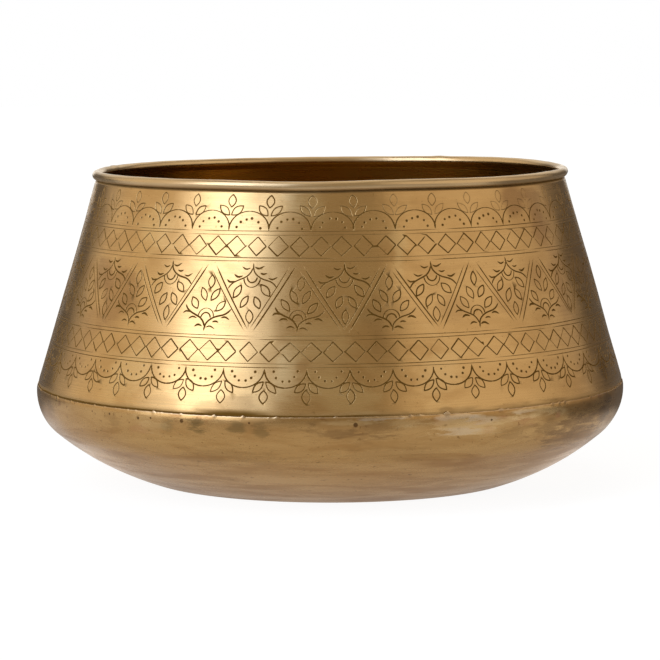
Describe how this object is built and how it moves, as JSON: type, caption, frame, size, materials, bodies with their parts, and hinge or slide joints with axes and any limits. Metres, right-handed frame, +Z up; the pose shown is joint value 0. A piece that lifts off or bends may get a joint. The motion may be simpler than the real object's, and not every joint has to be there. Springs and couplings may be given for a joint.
{
  "type": "cachepot",
  "caption": "Low round brass cachepot: an engraved cone-shaped wall with a wired rim, lapped and brazed into a round-bellied bowl that stands on a flat ring.",
  "frame": {"origin": "centre of the plane that the bowl stands on", "axes": "+Z up along the axis of the pot; +X to the right and -Y towards the viewer; the side seam is at the back, towards +Y"},
  "size_m": [0.4, 0.4, 0.2102],
  "materials": {
    "wall_brass": "brushed round the axis, antiqued, lacquered",
    "bowl_brass": "satin, mottled and lightly pitted",
    "wire_steel": "drawn wire",
    "braze": "as flowed, dressed outside"
  },
  "bodies": {
    "root": {"wall": "wall_brass", "bowl": "bowl_brass", "rim_wire": "wire_steel", "side_braze": "braze", "belly_braze": "braze"}
  },
  "joints": []
}
